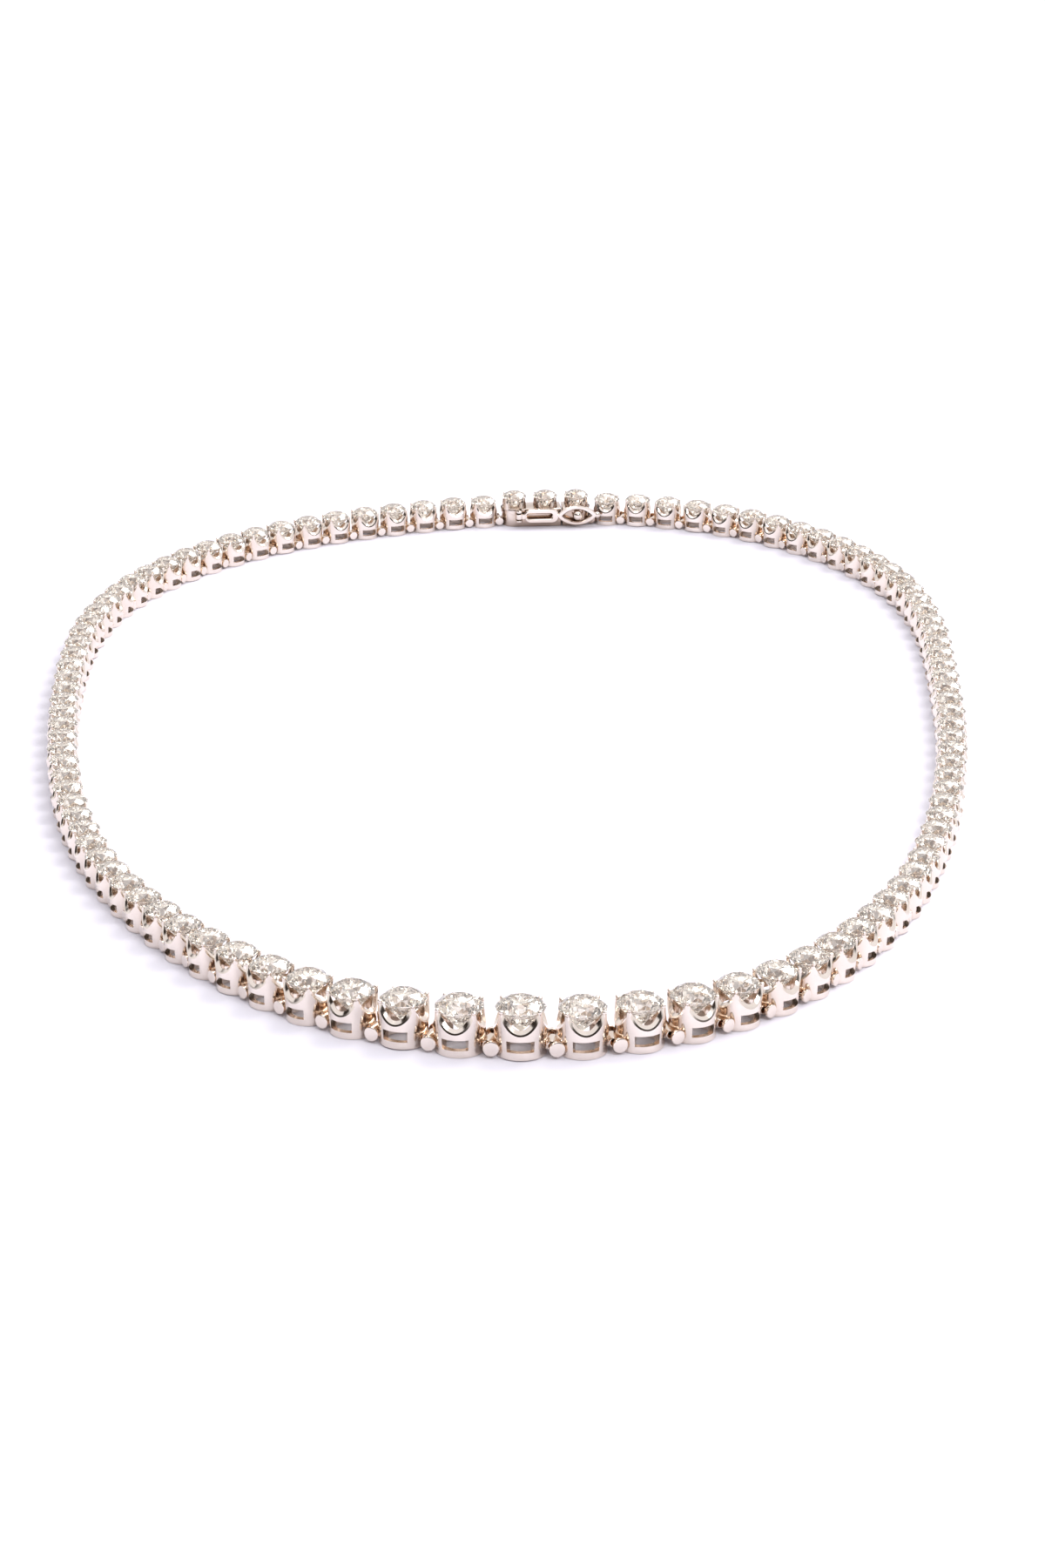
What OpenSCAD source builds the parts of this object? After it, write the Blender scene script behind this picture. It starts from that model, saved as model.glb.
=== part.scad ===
// Graduated line necklace of round stones in claw settings, lying closed on a surface, stones up.
// The front centre lies towards -Y and the clasp towards +Y. The surface is Z = 0.
// Every size of a link follows its cup diameter, and the cups follow the pitch along the loop.

/* [Loop] */
// Stones round the whole loop, the three on the clasp included
stone_count = 103; // [100:1:106]
// Pitch of the front centre link
front_pitch = 5.5; // [5.2:0.1:5.8]
// Pitch of the small links at the sides and back
side_pitch = 3.87; // [3.84:0.01:4]
// Links on each side of the front centre over which the size falls
taper_links = 13; // [10:1:20]
// How quickly the size falls from the front centre
taper_power = 1.3; // [1.2:0.1:2]
// How far the front centre link lies to the right of the route's start
front_shift = 1.6; // [0:0.2:2]

/* [Setting] */
// Diameter of a cup's base as a share of its pitch
cup_share = 0.785; // [0.77:0.005:0.79]
// Radius of the bore inside a cup, in cup diameters
bore_r = 0.37; // [0.36:0.01:0.38]
// Outer radius of the claws at their top, in cup diameters
claw_r = 0.59; // [0.585:0.005:0.6]
// Height of the claws' top, in cup diameters
claw_z = 1.04; // [1.03:0.01:1.05]
// Radius of the four scallops, in cup diameters
scallop_r = 0.35; // [0.34:0.01:0.36]
// Height of the scallops' lowest point, in cup diameters
scallop_z = 0.52; // [0.51:0.01:0.53]
// Width of a window in a cup's wall, in cup diameters
window_w = 0.55; // [0.5:0.01:0.56]
// Height of a window's lower edge, in cup diameters
window_z = 0.165; // [0.15:0.005:0.18]
// Height of a window, in cup diameters
window_h = 0.235; // [0.22:0.005:0.24]

/* [Stone] */
// Radius of a stone's girdle, in cup diameters
girdle_r = 0.49; // [0.48:0.005:0.495]
// Height of a stone's girdle, in cup diameters
girdle_z = 0.955; // [0.95:0.005:0.96]
// Radius of a stone's table, in cup diameters
table_r = 0.285; // [0.27:0.005:0.3]
// Height of the crown above the girdle, in cup diameters
crown_h = 0.155; // [0.15:0.005:0.165]
// Depth of the pavilion below the girdle, in cup diameters
pavilion_h = 0.42; // [0.41:0.005:0.425]

/* [Clasp] */
// Number of the first stone on the clasp, counted from the front centre
clasp_first = 51; // [50:1:52]
// How much higher the clasp's settings stand than those of the links
clasp_lift = 0.65; // [0.6:0.05:0.7]
// Height of the clasp's box and of the tongue's head
box_h = 2.3; // [2.3:0.05:2.35]
// Thickness of the box's side walls
box_wall = 0.4; // [0.35:0.05:0.45]
// Height of the safety catch's middle
catch_z = 1.55; // [1.5:0.05:1.6]
// Thickness of the safety catch
catch_t = 0.6; // [0.5:0.05:0.6]
// Radius of the ball stud that the catch closes over
stud_r = 0.62; // [0.58:0.01:0.62]

/* [Hidden] */

$fn = 48;
metal = [0.9, 0.87, 0.86];
crystal = [0.9, 0.95, 0.97];

// Clear space kept between any two solids that don't touch
gap = 0.11;
// Overlap that makes two forms of one solid fuse, or a cut run through
bite = 0.05;

// Inside of a cup, in cup diameters: height of the seat's foot, and the claws' reach over the girdle
seat_z = 0.8;
claw_reach = 0.48;
// Half width of what cuts right through a cup, in cup diameters
cut_half = 0.7;

// Hinge between two links, in cup diameters
hinge_z = 0.22;
pin_r = 0.045;
disc_r = 0.12;
disc_in = 0.345;
disc_out = 0.4;
arm_w = 0.05;
arm_h = 0.2;
arm_start = 0.3;
eye_r = 0.15;
eye_bore_r = 0.105;
eye_half = 0.13;
neck_start = 0.44;
neck_h = 0.2;
relief_r = 0.215;
relief_half = 0.2;

// Closed route of the links' hinges: the control points of a smooth curve, from the front centre
// by the left side to the back and on by the right side
route = [[0, -80], [-21, -70], [-40, -40], [-46, -8], [-48, 23], [-46, 49], [-28, 74],
    [9, 86], [34, 76], [49, 50], [48, 17], [47, -9], [40, -47], [23, -74]];
route_steps = 20;

// Size of each link from its place in the loop
function from_front(k) = min(k, stone_count - k);
function taper(k) = from_front(k) < taper_links ? pow(1 - from_front(k) / taper_links, taper_power) : 0;
function pitch(k) = side_pitch + (front_pitch - side_pitch) * taper(k);
function cup_d(k) = cup_share * pitch(k % stone_count);

// Running sums of a list, one more than its length, starting at 0
function running(v) = [for (i = 0, s = 0; i <= len(v); s = s + (i < len(v) ? v[i] : 0), i = i + 1) s];

// Point of the route at u, where each whole number is one control point
function blend(a, b, c, d, f) = (a * pow(1 - f, 3) + b * (3 * pow(f, 3) - 6 * pow(f, 2) + 4)
    + c * (3 * f + 3 * pow(f, 2) - 3 * pow(f, 3) + 1) + d * pow(f, 3)) / 6;
function on_route(u) = let (n = len(route), i = floor(u))
    blend(route[(i + n - 1) % n], route[i % n], route[(i + 1) % n], route[(i + 2) % n], u - i);

route_n = len(route) * route_steps;
route_u = [for (j = [0:route_n]) j / route_steps];
route_p = [for (u = route_u) on_route(u)];
route_s = running([for (j = [1:route_n]) norm(route_p[j] - route_p[j - 1])]);
u_at_s = [for (j = [0:route_n]) [route_s[j], route_u[j]]];

// The route is scaled so that the pitches just close it
pitch_s = running([for (k = [0:stone_count - 1]) pitch(k)]);
loop_length = pitch_s[stone_count];
route_scale = loop_length / route_s[route_n];

// Place of hinge k, between link k - 1 and link k
function along(s) = (s % loop_length + loop_length) % loop_length;
function hinge_at(k) = route_scale
    * on_route(lookup(along(pitch_s[k] - front_pitch / 2 - front_shift) / route_scale, u_at_s));
hinges = [for (k = [0:stone_count]) hinge_at(k)];

// The loop is moved so that its box is centred on the origin
cup_mid = [for (k = [0:stone_count - 1]) (hinges[k] + hinges[k + 1]) / 2];
cup_out = [for (k = [0:stone_count - 1]) cup_d(k) / 2];
low = [min([for (k = [0:stone_count - 1]) cup_mid[k][0] - cup_out[k]]),
    min([for (k = [0:stone_count - 1]) cup_mid[k][1] - cup_out[k]])];
high = [max([for (k = [0:stone_count - 1]) cup_mid[k][0] + cup_out[k]]),
    max([for (k = [0:stone_count - 1]) cup_mid[k][1] + cup_out[k]])];
loop_mid = (low + high) / 2;

// Frame of the straight piece between two hinges: +X along the loop, +Y outward, origin half way
module between(a, b) {
    way = hinges[b] - hinges[a];
    mid = (hinges[a] + hinges[b]) / 2 - loop_mid;
    translate([mid[0], mid[1], 0]) rotate([0, 0, atan2(way[1], way[0])]) children();
}
function span(a, b) = norm(hinges[b] - hinges[a]);

// The clasp takes three places of the loop
clasp_last = clasp_first + 3;
clasp_d = cup_d(clasp_first);
clasp_span = span(clasp_first, clasp_last);
clasp_pitch = clasp_span / 3;

// Clasp: how deep the settings are let into it, the mouth of the box and the room inside for the
// tongue, measured along the loop from the clasp's middle
seat_depth = 0.3;
mouth_x = 1.9;
room_x = -4.9;
room_h = 1.3;
floor_t = 0.35;

// Tongue: its clearance in the box, its two leaves, the fold's middle, and how far the upper leaf
// stops short of the mouth
slide_gap = 0.15;
leaf_t = 0.3;
tongue_x = -4;
leaf_short = 1;

// Hinge of the safety catch, on the box's inner side
catch_x = -3.4;
catch_y = -clasp_d / 2 - 0.7;
catch_pin_r = 0.16;
ear_in = 0.46;
ear_out = 0.74;
ear_r = 0.4;
ear_root = clasp_d / 2 - 0.2;
knuckle_r = 0.42;

// Figure of eight of the safety catch, measured from its hinge: the narrow loop with its slot, and
// the almond eye with the nib at its end
loop_h = 1.8;
loop_x0 = 0.9;
loop_x1 = 4.1;
slot_in = 0.3;
slot_r = 0.32;
eye_mid = 7.2;
eye_l = 5.1;
eye_h = 2.5;
eye_wire = 0.5;
eye_tip = 0.7;
nib_r = 0.4;

// Ball stud on the tongue's head
stud_y = catch_y - 0.1;
stud_root = clasp_d / 2 - 0.2;
stud_neck_r = 0.35;

// Size of the hinge at place k, shared by the two links that meet there
function hinge_d(k) = (cup_d(k) + cup_d(k + stone_count - 1)) / 2;

// Upright bar along Y, for the hinges
module bar_y(r, half) {
    rotate([90, 0, 0]) cylinder(h = 2 * half, r = r, center = true);
}

// Scallop outline across a cup: a round foot, open at the top
module scallop_2d(d) {
    mid_z = (scallop_z + scallop_r) * d;
    translate([0, mid_z]) circle(r = scallop_r * d);
    translate([-scallop_r * d, mid_z]) square([2 * scallop_r * d, d / 2]);
}

// Claw setting of one stone: a flared cup with a bore, a seat and a groove round the girdle.
// Two crossed scallops leave four claws standing, which lean over the stone's edge.
module setting(d, lift = 0) {
    top_z = claw_z * d + lift;
    groove_r = girdle_r * d + 1.3 * gap;
    groove_z = girdle_z * d - gap / 4 + lift;
    difference() {
        rotate_extrude() polygon([[bore_r * d, 0], [d / 2, 0], [claw_r * d, top_z],
            [claw_reach * d, top_z], [groove_r, groove_z], [bore_r * d, seat_z * d + lift]]);
        for (a = [0, 90]) translate([0, 0, lift]) rotate([90, 0, 90 + a])
            linear_extrude(height = 2 * cut_half * d, center = true) scallop_2d(d);
    }
}

// Windows through the inner and outer side of a cup
module windows(d) {
    translate([-window_w * d / 2, -cut_half * d, window_z * d])
        cube([window_w * d, 2 * cut_half * d, window_h * d]);
}

// Pin end of a hinge of size hd at x, on the cup of size d that stands at cup_x: two discs on arms,
// and the pin through them
module pin_end(x, cup_x, d, hd) {
    arm_x = cup_x + arm_start * d;
    translate([x, 0, hinge_z * hd]) bar_y(pin_r * hd, disc_out * hd);
    for (side = [-1, 1]) translate([0, side * (disc_in + disc_out) / 2 * hd, hinge_z * hd]) {
        translate([x, 0, 0]) bar_y(disc_r * hd, (disc_out - disc_in) / 2 * hd);
        translate([(arm_x + x) / 2, 0, 0]) cube([x - arm_x, arm_w * hd, arm_h * hd], center = true);
    }
}

// Eye end of such a hinge, without its bore
module eye_end(x, cup_x, d, hd) {
    neck_x = cup_x - neck_start * d;
    translate([x, 0, hinge_z * hd]) bar_y(eye_r * hd, eye_half * hd);
    translate([(x + neck_x) / 2, 0, hinge_z * hd])
        cube([neck_x - x, 2 * eye_half * hd, neck_h * hd], center = true);
}

// Bore of the eye at x
module eye_bore(x, hd) {
    translate([x, 0, hinge_z * hd]) bar_y(eye_bore_r * hd, eye_half * hd + bite);
}

// Hollow in a cup that lets the next link's eye turn at x
module eye_relief(x, hd) {
    translate([x, 0, hinge_z * hd]) bar_y(relief_r * hd, relief_half * hd);
}

// One link of the string, from hinge k to hinge k + 1
module link(k) {
    d = cup_d(k);
    x = span(k, k + 1) / 2;
    between(k, k + 1) {
        difference() {
            union() {
                setting(d);
                eye_end(-x, 0, d, hinge_d(k));
            }
            windows(d);
            eye_bore(-x, hinge_d(k));
            eye_relief(x, hinge_d(k + 1));
        }
        pin_end(x, 0, d, hinge_d(k + 1));
    }
}

// Cut stone, point down: an eight-sided table, 24 crown facets and a pavilion of 16
module stone(d, lift = 0) {
    top_z = (girdle_z + crown_h) * d + lift;
    mid_z = girdle_z * d + lift;
    points = concat(
        [for (j = [0:7]) [table_r * d * cos(45 * j), table_r * d * sin(45 * j), top_z]],
        [for (j = [0:15]) [girdle_r * d * cos(22.5 * j), girdle_r * d * sin(22.5 * j), mid_z]],
        [[0, 0, mid_z - pavilion_h * d]]);
    crown = [for (j = [0:7])
        let (t = j, u = (j + 1) % 8, a = 8 + 2 * j, b = a + 1, c = 8 + (2 * j + 2) % 16)
        each [[t, b, a], [t, u, b], [u, c, b]]];
    pavilion = [for (j = [0:15]) [8 + j, 8 + (j + 1) % 16, 24]];
    polyhedron(points, concat([[for (j = [7:-1:0]) j]], crown, pavilion));
}

// Stones of the links from first to last
module stones(first, last) {
    for (k = [first:last]) between(k, k + 1) stone(cup_d(k));
}

// Sub-parts

module links_left() {
    color(metal) for (k = [0:clasp_first - 1]) link(k);
}

module links_right() {
    color(metal) for (k = [clasp_last:stone_count - 1]) link(k);
}

module diamonds_left() {
    color(crystal) stones(0, clasp_first - 1);
}

module diamonds_right() {
    color(crystal) stones(clasp_last, stone_count - 1);
}

module clasp_diamonds() {
    color(crystal) between(clasp_first, clasp_last)
        for (j = [-1:1]) translate([j * clasp_pitch, 0, 0]) stone(clasp_d, clasp_lift);
}

// Upright block with a round end at x, for the two halves of the clasp
module clasp_block(x, to_x) {
    translate([x, 0, 0]) cylinder(h = box_h, r = clasp_d / 2);
    translate([min(x, to_x), -clasp_d / 2, 0]) cube([abs(to_x - x), clasp_d, box_h]);
}

// Seat of a clasp setting, sunk in the top of the block
module clasp_seat(x) {
    translate([x, 0, box_h - seat_depth]) cylinder(h = box_h, r = bore_r * clasp_d);
}

// Upper part of a setting, standing on the top of the block
module clasp_setting(x) {
    translate([x, 0, 0]) intersection() {
        setting(clasp_d, clasp_lift);
        translate([-clasp_d, -clasp_d, box_h - seat_depth]) cube([2 * clasp_d, 2 * clasp_d, 2 * clasp_d]);
    }
}

// Ears on the box's inner side that carry the safety catch
module catch_ears() {
    for (side = [-1, 1]) translate([catch_x, 0, catch_z + side * (ear_in + ear_out) / 2]) {
        translate([0, catch_y, 0]) cylinder(h = ear_out - ear_in, r = ear_r, center = true);
        translate([0, (catch_y - ear_root) / 2, 0])
            cube([2 * ear_r, -catch_y - ear_root, ear_out - ear_in], center = true);
    }
    translate([catch_x, catch_y, catch_z])
        cylinder(h = 2 * ear_in + 2 * bite, r = catch_pin_r, center = true);
}

module clasp_box() {
    color(metal) between(clasp_first, clasp_last) {
        difference() {
            union() {
                clasp_block(-clasp_pitch, mouth_x);
                eye_end(-clasp_span / 2, -clasp_pitch, clasp_d, hinge_d(clasp_first));
            }
            // Room for the tongue
            translate([room_x, box_wall - clasp_d / 2, floor_t])
                cube([mouth_x - room_x + bite, clasp_d - 2 * box_wall, room_h]);
            for (j = [-1:0]) clasp_seat(j * clasp_pitch);
            eye_bore(-clasp_span / 2, hinge_d(clasp_first));
        }
        for (j = [-1:0]) clasp_setting(j * clasp_pitch);
        catch_ears();
    }
}

module clasp_tongue() {
    leaf_w = clasp_d - 2 * box_wall - 2 * slide_gap;
    color(metal) between(clasp_first, clasp_last) {
        difference() {
            clasp_block(clasp_pitch, mouth_x + slide_gap);
            clasp_seat(clasp_pitch);
            eye_relief(clasp_span / 2, hinge_d(clasp_last));
        }
        clasp_setting(clasp_pitch);
        pin_end(clasp_span / 2, clasp_pitch, clasp_d, hinge_d(clasp_last));
        // Folded spring tongue: a lower leaf, the fold and the upper leaf
        translate([tongue_x, -leaf_w / 2, floor_t + slide_gap])
            cube([mouth_x + slide_gap + bite - tongue_x, leaf_w, leaf_t]);
        translate([tongue_x, 0, floor_t + room_h / 2])
            bar_y(room_h / 2 - slide_gap, leaf_w / 2);
        translate([tongue_x, -leaf_w / 2, floor_t + room_h - slide_gap - leaf_t])
            cube([mouth_x - leaf_short - tongue_x, leaf_w, leaf_t]);
        // Ball stud for the safety catch
        translate([clasp_pitch, 0, catch_z]) {
            translate([0, (stud_y - stud_root) / 2, 0]) bar_y(stud_neck_r, (-stud_y - stud_root) / 2);
            translate([0, stud_y, 0]) sphere(r = stud_r);
        }
    }
}

// Almond outline: two arcs that meet in points at half_l either side of the middle
module almond(half_l, half_h) {
    r = (half_l * half_l + half_h * half_h) / (2 * half_h);
    intersection_for (side = [-1, 1]) translate([0, side * (half_h - r)]) circle(r = r, $fn = 96);
}

// Slot outline with round ends, between two centres
module slot_2d(x0, x1, r) {
    translate([x0, 0]) circle(r = r);
    translate([x1, 0]) circle(r = r);
    translate([x0, -r]) square([x1 - x0, 2 * r]);
}

// Figure of eight of the safety catch, along X and Z of the clasp
module catch_2d() {
    difference() {
        union() {
            slot_2d(loop_x0, loop_x1, loop_h / 2);
            translate([eye_mid, 0]) almond(eye_l / 2, eye_h / 2);
            translate([eye_mid + eye_l / 2, 0]) circle(r = nib_r);
        }
        slot_2d(loop_x0 + slot_in, loop_x1 - slot_in, slot_r);
        translate([eye_mid, 0]) almond(eye_l / 2 - eye_tip, eye_h / 2 - eye_wire);
    }
}

module safety_catch() {
    knuckle_half = ear_in - gap;
    color(metal) between(clasp_first, clasp_last) translate([catch_x, catch_y, catch_z])
        difference() {
            union() {
                difference() {
                    rotate([90, 0, 0]) linear_extrude(height = catch_t, center = true) catch_2d();
                    // Room for the ears
                    cylinder(h = 2 * loop_h, r = ear_r + 2 * gap, center = true);
                }
                // Knuckle between the ears, and the web from it to the narrow loop
                cylinder(h = 2 * knuckle_half, r = knuckle_r, center = true);
                translate([loop_x0 / 2, 0, 0]) cube([loop_x0, catch_t, 2 * knuckle_half], center = true);
            }
            cylinder(h = 2 * ear_in, r = catch_pin_r + gap, center = true);
        }
}

links_left();
links_right();
diamonds_left();
diamonds_right();
clasp_box();
clasp_tongue();
clasp_diamonds();
safety_catch();
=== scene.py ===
import math
import random

import bmesh
import bpy
import numpy as np
from mathutils import Matrix, Vector


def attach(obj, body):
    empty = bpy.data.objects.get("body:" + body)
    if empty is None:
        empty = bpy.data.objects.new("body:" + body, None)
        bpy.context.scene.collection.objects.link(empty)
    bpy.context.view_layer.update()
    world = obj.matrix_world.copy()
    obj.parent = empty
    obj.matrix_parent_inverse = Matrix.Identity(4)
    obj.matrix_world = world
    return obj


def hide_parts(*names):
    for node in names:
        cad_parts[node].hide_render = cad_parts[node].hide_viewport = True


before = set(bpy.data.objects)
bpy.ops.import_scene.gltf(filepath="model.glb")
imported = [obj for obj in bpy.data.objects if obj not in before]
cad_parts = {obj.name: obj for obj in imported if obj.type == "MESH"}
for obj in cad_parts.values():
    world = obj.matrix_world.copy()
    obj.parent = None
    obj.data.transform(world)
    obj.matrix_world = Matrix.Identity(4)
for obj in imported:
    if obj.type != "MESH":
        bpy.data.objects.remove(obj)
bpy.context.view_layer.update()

# Sizes are in millimetres until a mesh is made, and follow the CAD source.
MM = 0.001

# Loop: stones, pitches and how the size falls from the front centre
STONE_COUNT = 103
FRONT_PITCH = 5.5
SIDE_PITCH = 3.87
TAPER_LINKS = 13
TAPER_POWER = 1.3
FRONT_SHIFT = 1.6
CUP_SHARE = 0.785
# The links' cups and stones are a little wider here than the solids, which keep room for the hinges
CUP_GROWTH = 1.04
# Number of the clasp's first stone, how many it has, and the first link after it
CLASP_FIRST = 51
CLASP_STONES = 3
CLASP_END = CLASP_FIRST + CLASP_STONES
# Links at which each string changes between its front piece and its back piece
HALF_LEFT = 25
HALF_RIGHT = 78
# How far a cup leans across the line and turns on it at most, in degrees
LEAN = 1.5
TURN = 2

# Control points of the closed route of the hinges, and the steps taken between two of them
ROUTE = np.array([
    [0, -80], [-21, -70], [-40, -40], [-46, -8], [-48, 23], [-46, 49], [-28, 74],
    [9, 86], [34, 76], [49, 50], [48, 17], [47, -9], [40, -47], [23, -74],
], float)
ROUTE_STEPS = 20

# Cup of one link, in cup diameters: wall, base ring with its lower edge, bore, seat and window
CUP_R = 0.5
FLARE = 0.075
FOOT = 0.022
FOOT_H = 0.16
FOOT_EDGE = 0.04
BORE_R = 0.385
SEAT_FOOT_Z = 0.5
SEAT_R = 0.5
WINDOW_Z = 0.165
WINDOW_TOP = 0.4
# Half width of a window, in degrees
WINDOW_EDGE = 31.3
# Columns of a cup over one eighth of the circle, in degrees from a scallop's middle to a claw's
CUP_COLUMNS = (0, 6, 12, 18, 24, 29, WINDOW_EDGE, 35, 38.3, 40.6, 42, 45)

# Scallops, in cup diameters. Their half width is that at the height SCALLOP_Z.
CLAW_TOP_Z = 0.94
SCALLOP_DEPTH = 0.42
SCALLOP_HALF = 0.375
SCALLOP_Z = 0.8
FACET = 0.04
FACET_LEAN = math.radians(26)
# Most that the facet grows in height on the steep sides of a scallop
MOST_STRETCH = 2.2
BEVEL = 0.085
BEVEL_RISE = 0.75
EDGE = 0.014
# Where the middle point of a rounded edge lies, as a share of the edge's size
ROUNDING = 0.3
# Heights of the wall's points between lintel and rim, as shares, outside and inside
WALL_RISE = (0.3, 0.6, 0.85, 1)
WALL_FALL = (1, 0.75, 0.45, 0.2)
# Which points of a section are the window's edges. Those inside are counted from its end.
OUT_SILL = 4
OUT_LINTEL = 5
IN_LINTEL = -4
IN_SILL = -3

# Claw beads, in cup diameters
BEAD_R = 0.522
BEAD_Z = 0.965
BEAD_SIZE = (0.062, 0.052, 0.05)
BEAD_LEAN = -35

# Hinge between two links, in cup diameters: pin, discs, their arms, eye and its neck
HINGE_Z = 0.22
PIN_R = 0.05
PIN_EDGE = 0.01
DISC_R = 0.168
DISC_SHIFT = 0.045
DISC_IN = 0.31
DISC_OUT = 0.4
DISC_EDGE = 0.02
ARM_START = 0.3
ARM_OUT = 0.335
ARM_HALF = 0.045
ARM_EDGE = 0.012
EYE_R = 0.112
EYE_BORE_R = 0.078
EYE_HALF = 0.2
NECK_START = 0.42
NECK_HALF = 0.13
NECK_TALL = 0.1

# Brilliant, in girdle radii, and its place in the cup, in cup diameters
GIRDLE_R = 0.503
GIRDLE_Z = 0.945
GIRDLE_HALF = 0.02
TABLE = 0.57
CROWN = 0.315
STAR = 0.8
PAVILION = 1.05
LOWER = 0.24
# Main facets round a stone, and the step between a main and a half facet, in degrees
MAINS = 8
FACET_STEP = 180 / MAINS

# Clasp: box, settings on it, mouth and the gap to the tongue's head
BOX_H = 2.3
CLASP_EDGE = 0.12
CLASP_LIFT = 0.65
SEAT_DEPTH = 0.3
MOUTH_X = 1.9
SLIDE_GAP = 0.15
# Step between foot, sill and lintel of a clasp's setting, in cup diameters
SETTING_STEP = 0.03
# How far the catch's ears and the stud's neck reach into the clasp's wall
WALL_REACH = 0.2

# Catch's place on the clasp, its pin with two ears, and the ball stud
CATCH_X = -3.4
CATCH_Z = 1.55
CATCH_OUT = 0.7
CATCH_PIN_R = 0.16
CATCH_PIN_HALF = 0.78
CATCH_PIN_EDGE = 0.04
EAR_R = 0.4
EAR_NEAR = 0.46
EAR_FAR = 0.74
EAR_EDGE = 0.06
EAR_BLOCK_EDGE = 0.05
STUD_R = 0.62
STUD_OUT = 0.1
STUD_NECK_R = 0.35

# Figure-eight catch, from its pin on: sleeve, bridge, narrow loop, almond eye and nib
CATCH_T = 0.6
CATCH_EDGE = 0.12
SLEEVE_R = 0.42
SLEEVE_BORE_R = 0.27
SLEEVE_HALF = 0.35
SLEEVE_EDGE = 0.08
BRIDGE = ((0.3, -0.28, -0.33), (0.95, 0.28, 0.33))
# Outer and inner outline of the narrow loop, each with the middles of its round ends and their radius
NARROW_OUTER = (1.5, 4.1, 0.88)
NARROW_INNER = (1.25, 3.8, 0.34)
# Middle of the almond eye, and the half length and half height of its two outlines
ALMOND_X = 7.2
ALMOND_OUTER = (2.55, 1.25)
ALMOND_INNER = (1.8, 0.76)
NIB_X = 9.72
NIB_SIZE = (0.42, 0.3, 0.4)

# Angles past which an edge is shaded sharp, and past which a clasp block's edge is rounded
SHARP_ANGLE = math.radians(22)
HARD_ANGLE = math.radians(50)

# Noise values at which a tint reaches its dark and its light tone
TONE_STOPS = (0.35, 0.65)
# Dark and light tone of each surface, and its clouds per metre
GOLD_TONES = ((0.81, 0.73, 0.66), (0.87, 0.79, 0.725))
GOLD_CLOUDS = 420
DIAMOND_TONES = ((0.77, 0.695, 0.59), (0.85, 0.785, 0.685))
DIAMOND_CLOUDS = 350
FLOOR_TONES = ((0.87, 0.86, 0.95), (0.89, 0.88, 0.97))
FLOOR_CLOUDS = 5
# Roughness of the gold from its most to its least polished spots, and its polishing lines per metre
GOLD_ROUGHNESS = (0.08, 0.2)
POLISH_LINES = 9000
# Tones of the painted shade in the gold's recesses, and how near another wall makes a recess, in metres
LINK_PAINTED_SHADE = (0.74, 0.60, 0.485)
CLASP_PAINTED_SHADE = (0.36, 0.235, 0.16)
PAINTED_SHADE_REACH = 0.002

# Sockets of a Mix node set to colours
MIX_SHARE = 0
MIX_FROM = 6
MIX_TO = 7
MIX_RESULT = 2

# Light tent: its wall, the dark gap in it, the sines of the heights between which the gap fades in
# and out, how far back it reaches, and its turn to the left of the front
TENT_WALL = (1, 0.975, 0.99, 1)
TENT_GAP = (0.03, 0.022, 0.018, 1)
GAP_LOW = (0.2, 0.3)
GAP_HIGH = (0.66, 0.58)
GAP_BACK = (0.3, -0.1)
GAP_TURN = math.radians(30)

# Light inside a diamond turns back many times before it leaves
LIGHT_BOUNCES = 24

# Floor and camera, in metres. The tilt is that of the view below the level.
FLOOR_SIZE = 8
CAMERA_PLACE = (0.00163, -0.39984, 0.14477)
CAMERA_TILT = math.radians(20.52)
CAMERA_LENS = 92


# Loop layout, as in the CAD source

def pitch(k):
    """Distance between the hinges of link k, counted from the front centre."""
    steps = min(k, STONE_COUNT - k)
    share = (1 - steps / TAPER_LINKS) ** TAPER_POWER if steps < TAPER_LINKS else 0
    return SIDE_PITCH + (FRONT_PITCH - SIDE_PITCH) * share


def cup_d(k):
    """Diameter of link k's cup in the CAD source."""
    return CUP_SHARE * pitch(k % STONE_COUNT)


def seen_d(k):
    """Diameter of link k's cup in this scene."""
    return CUP_GROWTH * cup_d(k)


def hinge_d(k):
    """Cup diameter that the hinge before link k follows."""
    return (cup_d(k) + cup_d(k - 1)) / 2


def on_route(u):
    """Point of the route's closed cubic spline, u control points from its start."""
    n = len(ROUTE)
    i = math.floor(u)
    f = u - i
    a, b, c, d = (ROUTE[(i + j) % n] for j in (-1, 0, 1, 2))
    return (a * (1 - f) ** 3 + b * (3 * f**3 - 6 * f**2 + 4)
            + c * (3 * f + 3 * f**2 - 3 * f**3 + 1) + d * f**3) / 6


def loop_hinges():
    """Places of the hinges, a pitch apart on the route, with the loop's box centred on the origin."""
    count = len(ROUTE) * ROUTE_STEPS
    u = np.arange(count + 1) / ROUTE_STEPS
    points = np.array([on_route(x) for x in u])
    run = np.concatenate([[0], np.cumsum(np.linalg.norm(np.diff(points, axis=0), axis=1))])
    pitches = np.concatenate([[0], np.cumsum([pitch(k) for k in range(STONE_COUNT)])])
    length = pitches[-1]
    scale = length / run[-1]
    along = (pitches - FRONT_PITCH / 2 - FRONT_SHIFT) % length
    hinges = np.array([scale * on_route(x) for x in np.interp(along / scale, run, u)])
    middle = (hinges[:-1] + hinges[1:]) / 2
    out = np.array([[cup_d(k) / 2] for k in range(STONE_COUNT)])
    return hinges - ((middle - out).min(0) + (middle + out).max(0)) / 2


HINGES = loop_hinges()


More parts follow.
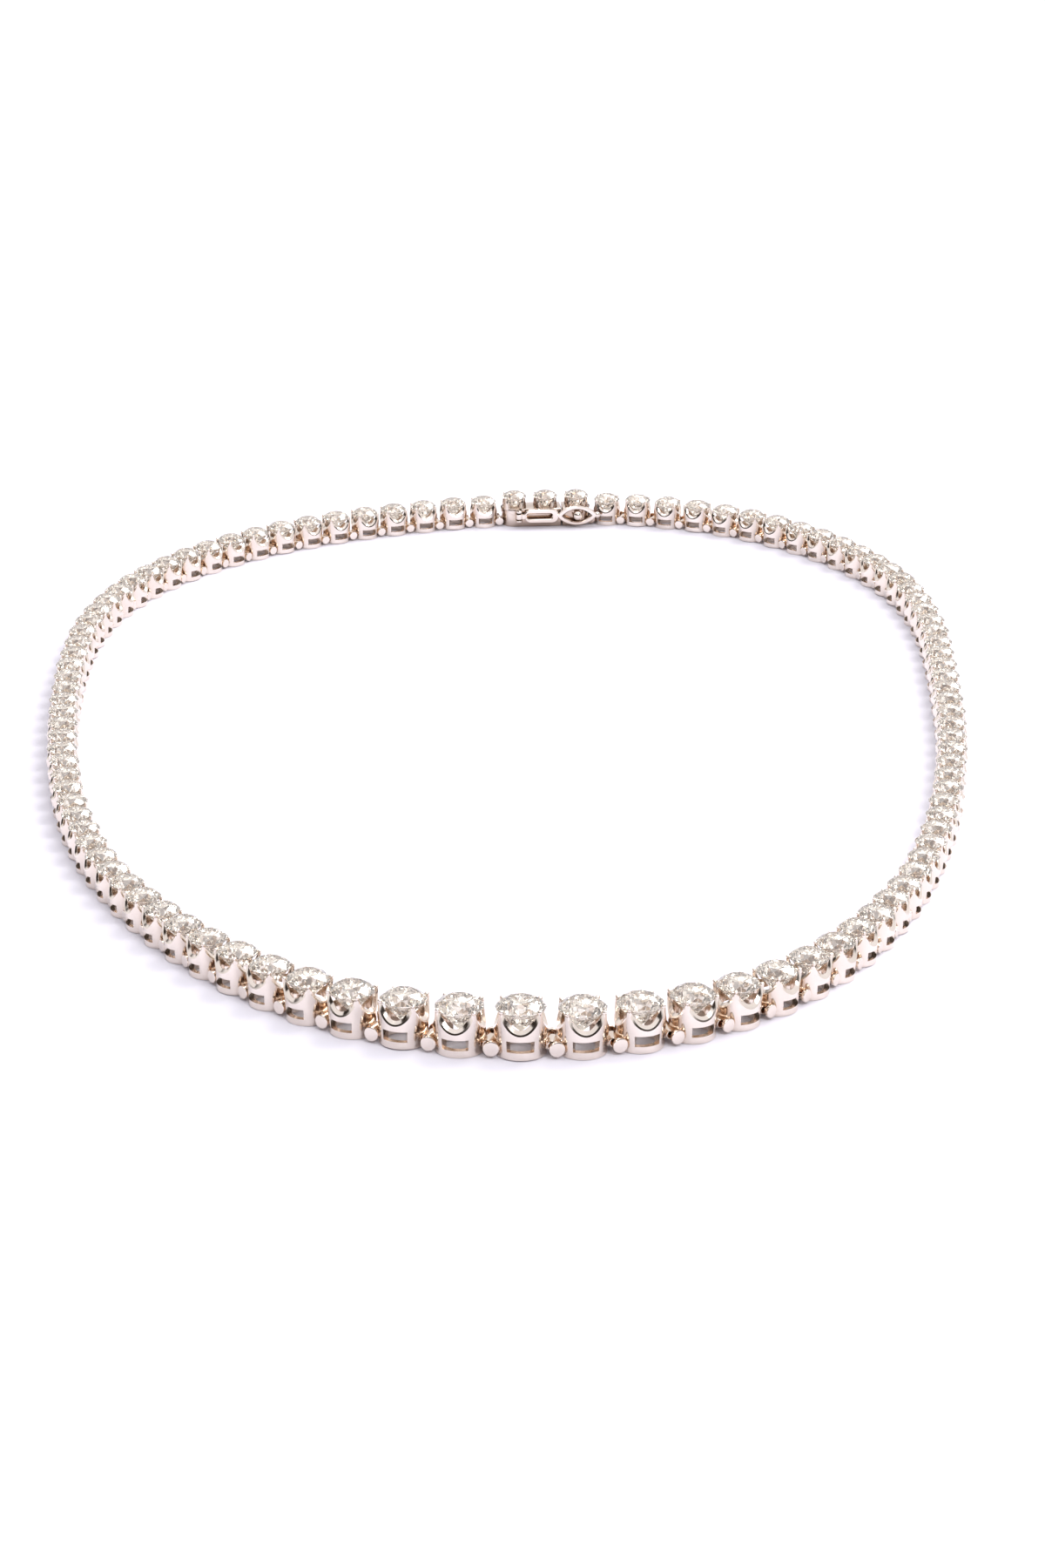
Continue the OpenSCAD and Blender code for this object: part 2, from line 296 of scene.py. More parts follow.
def between(a, b):
    """Matrix of the straight line between two hinges: +X along it, +Y outward, origin half way."""
    way = HINGES[b] - HINGES[a]
    mid = (HINGES[a] + HINGES[b]) / 2
    turn = Matrix.Rotation(math.atan2(way[1], way[0]), 4, "Z")
    return Matrix.Translation((mid[0], mid[1], 0)) @ turn


def span(a, b):
    """Distance between two hinges."""
    return float(np.linalg.norm(HINGES[b] - HINGES[a]))


# Mesh builders: each returns points and faces in its own frame

class Shape:
    """Points and faces gathered from many parts."""

    def __init__(self):
        self.points = []
        self.faces = []
        self.count = 0

    def add(self, part, matrix=None):
        points, faces = part
        points = np.asarray(points, float)
        if matrix is not None:
            m = np.array(matrix)
            points = points @ m[:3, :3].T + m[:3, 3]
        self.points.append(points)
        self.faces.extend(tuple(i + self.count for i in f) for f in faces)
        self.count += len(points)

    def part(self):
        return np.concatenate(self.points), self.faces


def part_of(bm):
    """Points and faces of a bmesh, which is freed."""
    bm.verts.index_update()
    points = [tuple(v.co) for v in bm.verts]
    faces = [tuple(v.index for v in f.verts) for f in bm.faces]
    bm.free()
    return points, faces


def grid_faces(columns, rows):
    """Quads of a grid that closes on itself both ways. Point (i, j) has the number i * rows + j."""
    return {
        (i, j): (i * rows + j, (i + 1) % columns * rows + j,
                 (i + 1) % columns * rows + (j + 1) % rows, i * rows + (j + 1) % rows)
        for i in range(columns) for j in range(rows)
    }


def lathe(profile, sides):
    """Turned form about Z of (radius, height) pairs. It is solid if they start and end on the axis."""
    solid = profile[0][0] == 0
    ring = profile[1:-1] if solid else profile
    angles = np.arange(sides) * 2 * math.pi / sides
    points = [(r * math.cos(a), r * math.sin(a), z) for a in angles for r, z in ring]
    rows = len(ring)
    quads = grid_faces(sides, rows)
    faces = [f for (_, j), f in quads.items() if not (solid and j == rows - 1)]
    if solid:
        start = len(points)
        end = start + 1
        points += [(0, 0, profile[0][1]), (0, 0, profile[-1][1])]
        for i in range(sides):
            after = (i + 1) % sides
            faces.append((start, after * rows, i * rows))
            faces.append((end, i * rows + rows - 1, after * rows + rows - 1))
    return points, faces


def disc(radius, low, high, edge, sides=20):
    """Short solid cylinder with rounded edges."""
    soft = ROUNDING * edge
    return lathe([
        (0, low), (radius - edge, low), (radius - soft, low + soft), (radius, low + edge),
        (radius, high - edge), (radius - soft, high - soft), (radius - edge, high), (0, high),
    ], sides)


def tube(outer, inner, half, edge, sides=20):
    """Ring with a bore and rounded edges, which reaches the half given either way along Z."""
    soft = ROUNDING * edge
    return lathe([
        (inner, soft - half), (inner + soft, -half), (outer - edge, -half), (outer - soft, soft - half),
        (outer, edge - half), (outer, half - edge), (outer - soft, half - soft), (outer - edge, half),
        (inner + soft, half), (inner, half - soft),
    ], sides)


def rounded_box(low, high, edge):
    """Box between two corners, with rounded edges."""
    low, high = Vector(low), Vector(high)
    place = Matrix.Translation((low + high) / 2) @ Matrix.Diagonal((*(high - low), 1))
    bm = bmesh.new()
    bmesh.ops.create_cube(bm, size=1, matrix=place)
    bmesh.ops.bevel(bm, geom=list(bm.edges), offset=edge, segments=2, profile=0.5, affect="EDGES")
    return part_of(bm)


def bead(size, sides=18, rows=9):
    """Ellipsoid with the three half sizes given."""
    turns = [math.pi * j / rows for j in range(rows + 1)]
    arc = [(math.sin(t), -math.cos(t)) for t in turns[1:-1]]
    points, faces = lathe([(0, -1), *arc, (0, 1)], sides)
    return np.array(points) * np.array(size), faces


def plate_ring(outer, inner, thickness, edge):
    """Flat ring with rounded edges, thick along Y, between two outlines in X and Z of as many points."""
    half = thickness / 2
    points = []
    for a, b in zip(inner, outer):
        way = (np.array(b) - np.array(a)) / math.dist(a, b)
        near = a + way * edge
        far = b - way * edge
        for p, y in ((a, edge - half), (near, -half), (far, -half), (b, edge - half),
                     (b, half - edge), (far, half), (near, half), (a, half - edge)):
            points.append((p[0], y, p[1]))
    return points, list(grid_faces(len(outer), len(points) // len(outer)).values())


# Cup of a link

def scallop_top(angle):
    """Height and slope of the cup's rim at an angle from a scallop's middle, in cup diameters."""
    side = (CUP_R + FLARE * SCALLOP_Z) * math.sin(math.radians(angle)) / SCALLOP_HALF
    if side >= 1:
        return CLAW_TOP_Z, MOST_STRETCH
    fall = math.sqrt(1 - side**2)
    return CLAW_TOP_Z - SCALLOP_DEPTH * fall, SCALLOP_DEPTH * side / (SCALLOP_HALF * fall)


def outer_r(z):
    """Radius of a cup's outside at a height, in cup diameters."""
    return CUP_R + FLARE * z + FOOT * max(1 - z / FOOT_H, 0) ** 2


def inner_r(z):
    """Radius of a cup's inside at a height, in cup diameters."""
    seat = min(max((z - SEAT_FOOT_Z) / (CLAW_TOP_Z - SEAT_FOOT_Z), 0), 1)
    return BORE_R + (SEAT_R - BORE_R) * seat


def cup_section(rim, low, shift):
    """Closed section through a cup's wall: up the outside, over the rim and down the inside.

    The rim has a narrow facet at its outer edge, as wide on the steep sides of a scallop as at its
    foot, and behind it a bevel that rises to the stone. low holds the heights of foot, sill and
    lintel. What lies above the lintel is raised by shift.
    """
    top, slope = rim
    foot, sill, lintel = low
    mid = (foot + sill) / 2
    soft = ROUNDING * EDGE
    under = ROUNDING * FOOT_EDGE
    stretch = min(math.hypot(1, slope), MOST_STRETCH)
    facet_z = min(top + FACET * math.cos(FACET_LEAN) * stretch, CLAW_TOP_Z)
    facet_r = outer_r(top) - (facet_z - top) * math.tan(FACET_LEAN)
    lip_r = max(facet_r - BEVEL, inner_r(facet_z))
    lip_z = facet_z + BEVEL_RISE * (facet_r - lip_r)
    bore_r = inner_r(lintel)
    section = [(outer_r(foot) - FOOT_EDGE, foot), (outer_r(foot) - under, foot + under),
               (outer_r(foot + FOOT_EDGE), foot + FOOT_EDGE)]
    section += [(outer_r(z), z) for z in (mid, sill, lintel)]
    section += [(outer_r(z), z) for z in (lintel + (top - lintel) * share for share in WALL_RISE)]
    section += [(facet_r, facet_z), (lip_r + EDGE, lip_z - soft), (lip_r + soft, lip_z - soft)]
    for share in WALL_FALL:
        z = lintel + (lip_z - EDGE - lintel) * share
        section.append((bore_r + (lip_r - bore_r) * (z - lintel) / (lip_z - lintel), z))
    section += [(bore_r, lintel), (inner_r(sill), sill)]
    section += [(BORE_R, foot + EDGE), (BORE_R + EDGE, foot)]
    return [(r, z + (shift if z > lintel else 0)) for r, z in section]


def window_columns(columns):
    """Numbers of the columns followed by a strip of window, on the cup's outer or inner side."""
    turns = [turn for turn, _ in columns]
    middles = [(a + b) / 2 for a, b in zip(turns, turns[1:] + turns[:1])]
    return [i for i, mid in enumerate(middles) if min(abs(mid - 90), abs(mid - 270)) < WINDOW_EDGE]


def wall_faces(count, rows, open_columns):
    """Faces of a cup's wall, with its windows cut through between the open columns and the next."""
    in_lintel = rows + IN_LINTEL
    in_sill = rows + IN_SILL
    quads = grid_faces(count, rows)
    for i in open_columns:
        del quads[i, OUT_SILL]
        del quads[i, in_lintel]
    faces = list(quads.values())
    for i in open_columns:
        a = i * rows
        b = (i + 1) % count * rows
        faces.append((a + OUT_SILL, b + OUT_SILL, b + in_sill, a + in_sill))
        faces.append((b + OUT_LINTEL, a + OUT_LINTEL, a + in_lintel, b + in_lintel))
        if i - 1 not in open_columns:
            faces.append((a + OUT_LINTEL, a + OUT_SILL, a + in_sill, a + in_lintel))
        if i + 1 not in open_columns:
            faces.append((b + OUT_SILL, b + OUT_LINTEL, b + in_lintel, b + in_sill))
    return faces


def cup(d, low=(0, WINDOW_Z, WINDOW_TOP), shift=0, windows=True):
    """Cup of a claw setting: four scallops, four claws with beads, and a window on two sides."""
    eighth = [-a for a in CUP_COLUMNS[:0:-1]]
    quarter = eighth + list(CUP_COLUMNS[:-1])
    columns = [(90 * q + a, abs(a)) for q in range(4) for a in quarter]
    sections = [cup_section(scallop_top(a), low, shift) for _, a in columns]
    points = []
    for (turn, _), section in zip(columns, sections):
        c = math.cos(math.radians(turn))
        s = math.sin(math.radians(turn))
        points += [(r * d * c, r * d * s, z * d) for r, z in section]
    open_columns = window_columns(columns) if windows else []
    shape = Shape()
    shape.add((points, wall_faces(len(columns), len(sections[0]), open_columns)))
    tip = bead([x * d for x in BEAD_SIZE])
    lean = Matrix.Rotation(math.radians(BEAD_LEAN), 4, "Y")
    for q in range(4):
        turn = Matrix.Rotation(math.radians(45 + 90 * q), 4, "Z")
        shape.add(tip, turn @ Matrix.Translation((BEAD_R * d, 0, (BEAD_Z + shift) * d)) @ lean)
    return shape.part()


# Hinge between two links

# Lays an upright part down along Y
UPRIGHT_TO_Y = Matrix.Rotation(math.radians(90), 4, "X")


def pin_end(x, cup_x, d, hd):
    """Pin at x with a disc on each end, and their arms on the cup that stands at cup_x."""
    shape = Shape()
    z = HINGE_Z * hd
    tall = ARM_HALF * hd
    pin_at = Matrix.Translation((x, 0, z)) @ UPRIGHT_TO_Y
    disc_at = Matrix.Translation((x + math.copysign(DISC_SHIFT * hd, cup_x - x), 0, z)) @ UPRIGHT_TO_Y
    shape.add(disc(PIN_R * hd, -DISC_IN * hd, DISC_IN * hd, PIN_EDGE * hd, sides=18), pin_at)
    for side in (-1, 1):
        low, high = sorted((side * DISC_IN * hd, side * DISC_OUT * hd))
        shape.add(disc(DISC_R * hd, low, high, DISC_EDGE * hd, sides=24), disc_at)
        back, front = sorted((side * DISC_IN * hd, side * ARM_OUT * hd))
        shape.add(rounded_box((cup_x + ARM_START * d, back, z - tall), (x, front, z + tall),
                              ARM_EDGE * hd))
    return shape.part()


def eye_end(x, cup_x, d, hd):
    """Eye round the next link's pin, at x, and its neck on the cup that stands at cup_x."""
    shape = Shape()
    z = HINGE_Z * hd
    tall = NECK_TALL * hd
    wide = NECK_HALF * hd
    wall_x = x + 0.5 * (EYE_R + EYE_BORE_R) * hd
    eye = tube(EYE_R * hd, EYE_BORE_R * hd, EYE_HALF * hd, DISC_EDGE * hd)
    shape.add(eye, Matrix.Translation((x, 0, z)) @ UPRIGHT_TO_Y)
    shape.add(rounded_box((wall_x, -wide, z - tall), (cup_x - NECK_START * d, wide, z + tall),
                          ARM_EDGE * hd))
    return shape.part()


# Stone

def brilliant(d, shift=0):
    """Round brilliant: table, stars, kites, upper halves, girdle, lower halves and pavilion mains."""
    r = GIRDLE_R * d
    mid = (GIRDLE_Z + shift) * d

    def at(radius, step, z):
        turn = math.radians(FACET_STEP * step)
        return (radius * r * math.cos(turn), radius * r * math.sin(turn), mid + z * r)

    # Distance of an octagon's side from its middle, for corners at 1
    inward = math.cos(math.radians(FACET_STEP))
    star_z = GIRDLE_HALF + CROWN * (1 - STAR * inward) / (1 - TABLE)
    lower_z = -GIRDLE_HALF - PAVILION * (1 - LOWER * inward)
    points = [at(TABLE, 2 * j, GIRDLE_HALF + CROWN) for j in range(MAINS)]
    star = len(points)
    points += [at(STAR, 2 * j + 1, star_z) for j in range(MAINS)]
    top = len(points)
    points += [at(1, j, GIRDLE_HALF) for j in range(2 * MAINS)]
    bottom = len(points)
    points += [at(1, j, -GIRDLE_HALF) for j in range(2 * MAINS)]
    low = len(points)
    points += [at(LOWER, 2 * j + 1, lower_z) for j in range(MAINS)]
    culet = len(points)
    points += [at(0, 0, -GIRDLE_HALF - PAVILION)]
    faces = [tuple(range(MAINS))]
    for j in range(MAINS):
        after = (j + 1) % MAINS
        before = (j - 1) % MAINS
        here = 2 * j
        half = here + 1
        ahead = (here + 2) % (2 * MAINS)
        faces.append((j, star + j, after))
        faces.append((j, star + before, top + here, star + j))
        faces.append((star + j, top + here, top + half))
        faces.append((star + j, top + half, top + ahead))
        faces.append((top + here, bottom + here, bottom + half, top + half))
        faces.append((top + half, bottom + half, bottom + ahead, top + ahead))
        faces.append((low + j, bottom + half, bottom + here))
        faces.append((low + j, bottom + ahead, bottom + half))
        faces.append((culet, low + j, bottom + here, low + before))
    return points, faces


# Materials

def new_material(name):
    """Material of a name, with its nodes, their links and its shader."""
    material = bpy.data.materials.new(name)
    material.use_nodes = True
    nodes = material.node_tree.nodes
    return material, nodes, material.node_tree.links, nodes["Principled BSDF"]


def tinted(nodes, links, socket, per_metre, tones):
    """Gives a colour socket a tint that drifts between two tones in soft clouds."""
    place = nodes.new("ShaderNodeTexCoord")
    clouds = nodes.new("ShaderNodeTexNoise")
    clouds.inputs["Scale"].default_value = per_metre
    clouds.inputs["Detail"].default_value = 4
    links.new(place.outputs["Object"], clouds.inputs["Vector"])
    tint = nodes.new("ShaderNodeValToRGB")
    for i in (0, 1):
        tint.color_ramp.elements[i].position = TONE_STOPS[i]
        tint.color_ramp.elements[i].color = (*tones[i], 1)
    links.new(clouds.outputs["Fac"], tint.inputs["Fac"])
    links.new(tint.outputs["Color"], socket)
    return place, clouds


def white_gold(name, shade_tone, alone):
    """Polished white gold: fine polishing lines, faint clouding, and painted shade that darkens and
    warms its recesses.

    alone leaves other pieces out when the recesses are found.
    """
    material, nodes, links, shader = new_material(name)
    shader.inputs["Metallic"].default_value = 1
    # Painted shade: where other walls are near, the colour turns darker and warmer, as shade falls in
    # the recesses.
    shade_mask = nodes.new("ShaderNodeAmbientOcclusion")
    shade_mask.only_local = alone
    shade_mask.inputs["Distance"].default_value = PAINTED_SHADE_REACH
    painted_shade = nodes.new("ShaderNodeMix")
    painted_shade.data_type = "RGBA"
    painted_shade.inputs[MIX_FROM].default_value = (*shade_tone, 1)
    links.new(shade_mask.outputs["AO"], painted_shade.inputs[MIX_SHARE])
    links.new(painted_shade.outputs[MIX_RESULT], shader.inputs["Base Color"])
    place, clouds = tinted(nodes, links, painted_shade.inputs[MIX_TO], GOLD_CLOUDS, GOLD_TONES)
    gloss = nodes.new("ShaderNodeMapRange")
    gloss.inputs["To Min"].default_value = GOLD_ROUGHNESS[0]
    gloss.inputs["To Max"].default_value = GOLD_ROUGHNESS[1]
    links.new(clouds.outputs["Fac"], gloss.inputs["Value"])
    links.new(gloss.outputs["Result"], shader.inputs["Roughness"])
    lines = nodes.new("ShaderNodeTexNoise")
    lines.inputs["Scale"].default_value = POLISH_LINES
    lines.inputs["Detail"].default_value = 3
    links.new(place.outputs["Object"], lines.inputs["Vector"])
    bump = nodes.new("ShaderNodeBump")
    bump.inputs["Strength"].default_value = 0.05
    bump.inputs["Distance"].default_value = 0.00002
    links.new(lines.outputs["Fac"], bump.inputs["Height"])
    links.new(bump.outputs["Normal"], shader.inputs["Normal"])
    return material


def diamond():
    """Near colourless diamond with a faint warm tint."""
    material, nodes, links, shader = new_material("diamond")
    tinted(nodes, links, shader.inputs["Base Color"], DIAMOND_CLOUDS, DIAMOND_TONES)
    shader.inputs["Transmission Weight"].default_value = 1
    shader.inputs["IOR"].default_value = 2.42
    shader.inputs["Roughness"].default_value = 0
    return material


def floor_paint():
    """Matt white sweep."""
    material, nodes, links, shader = new_material("floor_white")
    tinted(nodes, links, shader.inputs["Base Color"], FLOOR_CLOUDS, FLOOR_TONES)
    shader.inputs["Roughness"].default_value = 0.9
    shader.inputs["Specular IOR Level"].default_value = 0.1
    return material


GOLD = white_gold("white_gold", LINK_PAINTED_SHADE, True)
# Painted shade, darker and browner, deep between the clasp and its catch
CLASP_GOLD_SHADED = white_gold("white_gold_clasp_shaded", CLASP_PAINTED_SHADE, False)
DIAMOND = diamond()


def piece(name, part, material, body, replaced, smooth=True):
    """Makes the object of a part in millimetres, gives it its body and slot, and hides the CAD nodes it
    replaces.
    """
    points, faces = part
    mesh = bpy.data.meshes.new(name)
    mesh.from_pydata((np.asarray(points) * MM).tolist(), [], faces)
    mesh.validate()
    if smooth:
        mesh.shade_smooth()
        mesh.set_sharp_from_angle(angle=SHARP_ANGLE)
    mesh.materials.append(material)
    obj = bpy.data.objects.new(name, mesh)
    bpy.context.scene.collection.objects.link(obj)
    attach(obj, body)
    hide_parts(*replaced)


# The two strings

def cup_place(k):
    """Place of link k's cup and stone, with the small lean and turn of a link that lies loose."""
    draw = random.Random(k)
    lean = math.radians(draw.uniform(-LEAN, LEAN))
    turn = math.radians(draw.uniform(-TURN, TURN))
    lift = seen_d(k) / 2 * math.sin(abs(lean))
    upright = between(k, k + 1) @ Matrix.Translation((0, 0, lift))
    return upright @ Matrix.Rotation(lean, 4, "X") @ Matrix.Rotation(turn, 4, "Z")


def link_string(first, end):
    """Links from the first up to, but without, the end."""
    shape = Shape()
    for k in range(first, end):
        d = seen_d(k)
        x = span(k, k + 1) / 2
        place = between(k, k + 1)
        shape.add(cup(d), cup_place(k))
        shape.add(pin_end(x, 0, d, hinge_d(k + 1)), place)
        shape.add(eye_end(-x, 0, d, hinge_d(k)), place)
    return shape.part()


def stone_string(first, end):
    """Stones of those links, each set at its own angle."""
    shape = Shape()
    for k in range(first, end):
        spin = random.Random(k + STONE_COUNT).uniform(0, math.pi / 4)
        shape.add(brilliant(seen_d(k)), cup_place(k) @ Matrix.Rotation(spin, 4, "Z"))
    return shape.part()


for name, first, end, node in (
    ("links_left_front", 0, HALF_LEFT, "links_left"),
    ("links_left_back", HALF_LEFT, CLASP_FIRST, "links_left"),
    ("links_right_back", CLASP_END, HALF_RIGHT, "links_right"),
    ("links_right_front", HALF_RIGHT, STONE_COUNT, "links_right"),
):
    piece(name, link_string(first, end), GOLD, "necklace", [node])
for name, first, end, node in (
    ("stones_left", 0, CLASP_FIRST, "diamonds_left"),
    ("stones_right", CLASP_END, STONE_COUNT, "diamonds_right"),
):
    piece(name, stone_string(first, end), DIAMOND, "necklace", [node], smooth=False)


# Clasp, built with +X along the loop, +Y outward and the middle of the clasp at X = 0

CLASP = between(CLASP_FIRST, CLASP_END)
CLASP_D = cup_d(CLASP_FIRST)
CLASP_SPAN = span(CLASP_FIRST, CLASP_END)
CLASP_PITCH = CLASP_SPAN / CLASP_STONES
LIFT = CLASP_LIFT / CLASP_D
SETTING_FOOT = (BOX_H - SEAT_DEPTH) / CLASP_D
CATCH_Y = -CLASP_D / 2 - CATCH_OUT


def clasp_cup(x):
    """Setting on the clasp at x, without windows."""
    low = (SETTING_FOOT, SETTING_FOOT + SETTING_STEP, SETTING_FOOT + 2 * SETTING_STEP)
    points, faces = cup(CLASP_D, low, LIFT, windows=False)
    return np.array(points) + np.array([x, 0, 0]), faces


def block(x, to_x):
    """Upright block as high as the box, round about x and flat at to_x, with rounded edges."""
    bm = bmesh.new()
    r = CLASP_D / 2
    side = 1 if x > to_x else -1
    turns = [math.radians(a) for a in range(-90, 91, 9)]
    outline = [(x + side * r * math.cos(t), r * math.sin(t) * side) for t in turns]
    outline += [(to_x, r * side), (to_x, -r * side)]
    base = bm.faces.new([bm.verts.new((px, py, 0)) for px, py in outline])
    raised = bmesh.ops.extrude_face_region(bm, geom=[base])["geom"]
    roof = [v for v in raised if isinstance(v, bmesh.types.BMVert)]
    bmesh.ops.translate(bm, vec=(0, 0, BOX_H), verts=roof)
    bmesh.ops.recalc_face_normals(bm, faces=list(bm.faces))
    hard = [e for e in bm.edges if e.calc_face_angle(0) > HARD_ANGLE]
    bmesh.ops.bevel(bm, geom=hard, offset=CLASP_EDGE, segments=4, profile=0.5, affect="EDGES")
    return part_of(bm)


def clasp_box_part():
    """Box with its two settings, the eye of its hinge, and the catch's pin between two ears."""
    shape = Shape()
    shape.add(block(-CLASP_PITCH, MOUTH_X))
    for j in (-1, 0):
        shape.add(clasp_cup(j * CLASP_PITCH))
    shape.add(eye_end(-CLASP_SPAN / 2, -CLASP_PITCH, CLASP_D, hinge_d(CLASP_FIRST)))
    pin_at = Matrix.Translation((CATCH_X, CATCH_Y, CATCH_Z))
    pin = disc(CATCH_PIN_R, -CATCH_PIN_HALF, CATCH_PIN_HALF, CATCH_PIN_EDGE, sides=16)
    shape.add(pin, pin_at)
    for low, high in ((-EAR_FAR, -EAR_NEAR), (EAR_NEAR, EAR_FAR)):
        shape.add(disc(EAR_R, low, high, EAR_EDGE, sides=24), pin_at)
        shape.add(rounded_box((CATCH_X - EAR_R, CATCH_Y, CATCH_Z + low),
                              (CATCH_X + EAR_R, WALL_REACH - CLASP_D / 2, CATCH_Z + high),
                              EAR_BLOCK_EDGE))
    return shape.part()


def clasp_tongue_part():
    """Head of the tongue with its setting, the pin of its hinge and the ball stud."""
    shape = Shape()
    shape.add(block(CLASP_PITCH, MOUTH_X + SLIDE_GAP))
    shape.add(clasp_cup(CLASP_PITCH))
    shape.add(pin_end(CLASP_SPAN / 2, CLASP_PITCH, CLASP_D, hinge_d(CLASP_END)))
    ball_at = Matrix.Translation((CLASP_PITCH, CATCH_Y - STUD_OUT, CATCH_Z))
    shape.add(bead((STUD_R, STUD_R, STUD_R), sides=24, rows=14), ball_at)
    neck_at = Matrix.Translation((CLASP_PITCH, 0, CATCH_Z)) @ UPRIGHT_TO_Y
    shape.add(disc(STUD_NECK_R, CLASP_D / 2 - WALL_REACH, -CATCH_Y, CATCH_PIN_EDGE), neck_at)
    return shape.part()


def slot_outline(x0, x1, r, steps=24):
    """Outline with round ends of radius r about x0 and x1."""
    turns = [2 * math.pi * (i + 0.5) / steps for i in range(steps)]
    ends = [x1 if math.cos(t) > 0 else x0 for t in turns]
    return [np.array([x + r * math.cos(t), r * math.sin(t)]) for x, t in zip(ends, turns)]


def almond_outline(half_l, half_h, steps=18):
    """Two arcs that meet in points at half_l either side of the eye's middle."""
    r = (half_l**2 + half_h**2) / (2 * half_h)
    reach = math.asin(half_l / r)
    upper = [(ALMOND_X + r * math.sin(a), half_h - r + r * math.cos(a))
             for a in np.linspace(reach, -reach, steps + 1)[:-1]]
    lower = [(2 * ALMOND_X - x, -z) for x, z in upper]
    return [np.array(p) for p in upper + lower]


def safety_catch_part():
    """Figure-eight catch, from the sleeve on its pin to the nib at its tip."""
    shape = Shape()
    narrow = [slot_outline(*outline) for outline in (NARROW_OUTER, NARROW_INNER)]
    almond = [almond_outline(*outline) for outline in (ALMOND_OUTER, ALMOND_INNER)]
    shape.add(plate_ring(*narrow, CATCH_T, CATCH_EDGE))
    shape.add(plate_ring(*almond, CATCH_T, CATCH_EDGE))
    shape.add(bead(NIB_SIZE, sides=16, rows=10), Matrix.Translation((NIB_X, 0, 0)))
    shape.add(tube(SLEEVE_R, SLEEVE_BORE_R, SLEEVE_HALF, SLEEVE_EDGE, sides=24))
    shape.add(rounded_box(*BRIDGE, SLEEVE_EDGE))
    points, faces = shape.part()
    return np.array(points) + np.array([CATCH_X, CATCH_Y, CATCH_Z]), faces


def clasp_stones_part():
    """The three stones on the clasp, in the loop's frame."""
    shape = Shape()
    for j in (-1, 0, 1):
        shape.add(brilliant(CLASP_D, LIFT), CLASP @ Matrix.Translation((j * CLASP_PITCH, 0, 0)))
    return shape.part()


def in_loop(part):
    """A part of the clasp moved to its place in the loop."""
    shape = Shape()
    shape.add(part, CLASP)
    return shape.part()


for name, part, body, node in (
    ("clasp_box_metal", clasp_box_part(), "necklace", "clasp_box"),
    ("clasp_tongue_metal", clasp_tongue_part(), "necklace", "clasp_tongue"),
    ("safety_catch_metal", safety_catch_part(), "safety_catch", "safety_catch"),
):
    piece(name, in_loop(part), CLASP_GOLD_SHADED, body, [node])
piece("stones_clasp", clasp_stones_part(), DIAMOND, "necklace", ["clasp_diamonds"],
      smooth=False)


# Floor, light and camera

bpy.ops.mesh.primitive_plane_add(size=FLOOR_SIZE)
floor = bpy.context.object
floor.name = "floor"
floor.data.materials.append(floor_paint())


def faded(nodes, links, value, start, end):
    """Share that rises smoothly from 0 to 1 while a value goes from start to end."""
    share = nodes.new("ShaderNodeMapRange")
    share.interpolation_type = "SMOOTHSTEP"
    share.inputs["From Min"].default_value = start
    share.inputs["From Max"].default_value = end
    links.new(value, share.inputs["Value"])
    return share.outputs["Result"]


def both(nodes, links, one, other):
    """Product of two shares."""
    product = nodes.new("ShaderNodeMath")
    product.operation = "MULTIPLY"
    links.new(one, product.inputs[0])
    links.new(other, product.inputs[1])
    return product.outputs["Value"]


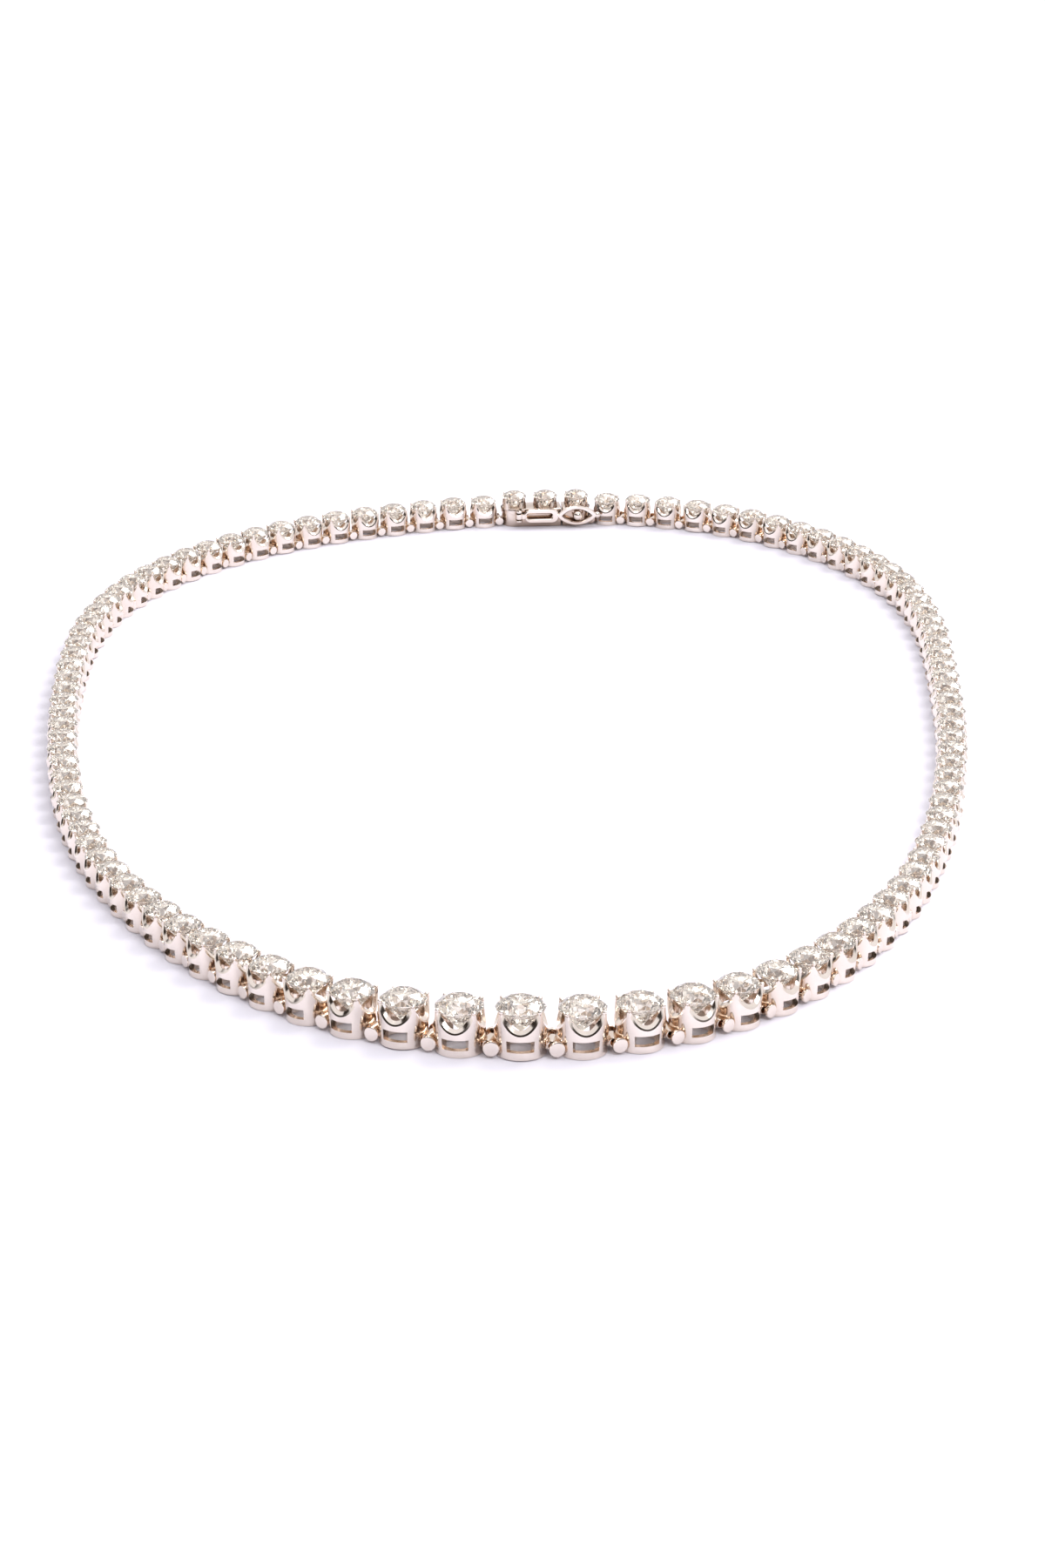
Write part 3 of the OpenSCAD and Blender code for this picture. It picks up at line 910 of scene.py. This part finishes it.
def studio_world():
    """Bright tent with a dark gap between its front wall and its roof."""
    world = bpy.data.worlds.new("studio")
    bpy.context.scene.world = world
    world.use_nodes = True
    nodes = world.node_tree.nodes
    links = world.node_tree.links
    place = nodes.new("ShaderNodeTexCoord")
    turned = nodes.new("ShaderNodeMapping")
    turned.inputs["Rotation"].default_value = (0, 0, GAP_TURN)
    links.new(place.outputs["Generated"], turned.inputs["Vector"])
    way = nodes.new("ShaderNodeSeparateXYZ")
    links.new(turned.outputs["Vector"], way.inputs["Vector"])
    above = faded(nodes, links, way.outputs["Z"], *GAP_LOW)
    below = faded(nodes, links, way.outputs["Z"], *GAP_HIGH)
    ahead = faded(nodes, links, way.outputs["Y"], *GAP_BACK)
    gap = both(nodes, links, both(nodes, links, above, below), ahead)
    colour = nodes.new("ShaderNodeMix")
    colour.data_type = "RGBA"
    colour.inputs[MIX_FROM].default_value = TENT_WALL
    colour.inputs[MIX_TO].default_value = TENT_GAP
    links.new(gap, colour.inputs[MIX_SHARE])
    links.new(colour.outputs[MIX_RESULT], nodes["Background"].inputs["Color"])
    nodes["Background"].inputs["Strength"].default_value = 1


def area_light(name, place, size, watts, colour):
    """Round lamp that shines on the middle of the loop. Its place and size are in metres."""
    light = bpy.data.lights.new(name, "AREA")
    light.shape = "DISK"
    light.size = size
    light.energy = watts
    light.color = colour
    obj = bpy.data.objects.new(name, light)
    obj.location = place
    obj.rotation_euler = (-Vector(place)).to_track_quat("-Z", "Y").to_euler()
    bpy.context.scene.collection.objects.link(obj)


studio_world()
bpy.context.scene.view_settings.view_transform = "Standard"
bpy.context.scene.cycles.max_bounces = LIGHT_BOUNCES
bpy.context.scene.cycles.glossy_bounces = LIGHT_BOUNCES
bpy.context.scene.cycles.transmission_bounces = LIGHT_BOUNCES
area_light("key", place=(0.35, 0.35, 0.6), size=0.5, watts=3, colour=(1, 0.97, 0.94))
area_light("top", place=(-0.1, 0.05, 0.7), size=0.5, watts=0.6, colour=(1, 1, 1))
area_light("front", place=(0.22, -0.38, 0.42), size=0.25, watts=1, colour=(1, 1, 1))

camera = bpy.data.cameras.new("camera")
camera.sensor_width = 36
camera.lens = CAMERA_LENS
camera.clip_start = 0.01
camera.clip_end = 20
camera_object = bpy.data.objects.new("camera", camera)
camera_object.location = CAMERA_PLACE
camera_object.rotation_euler = (math.radians(90) - CAMERA_TILT, 0, 0)
bpy.context.scene.collection.objects.link(camera_object)
bpy.context.scene.camera = camera_object
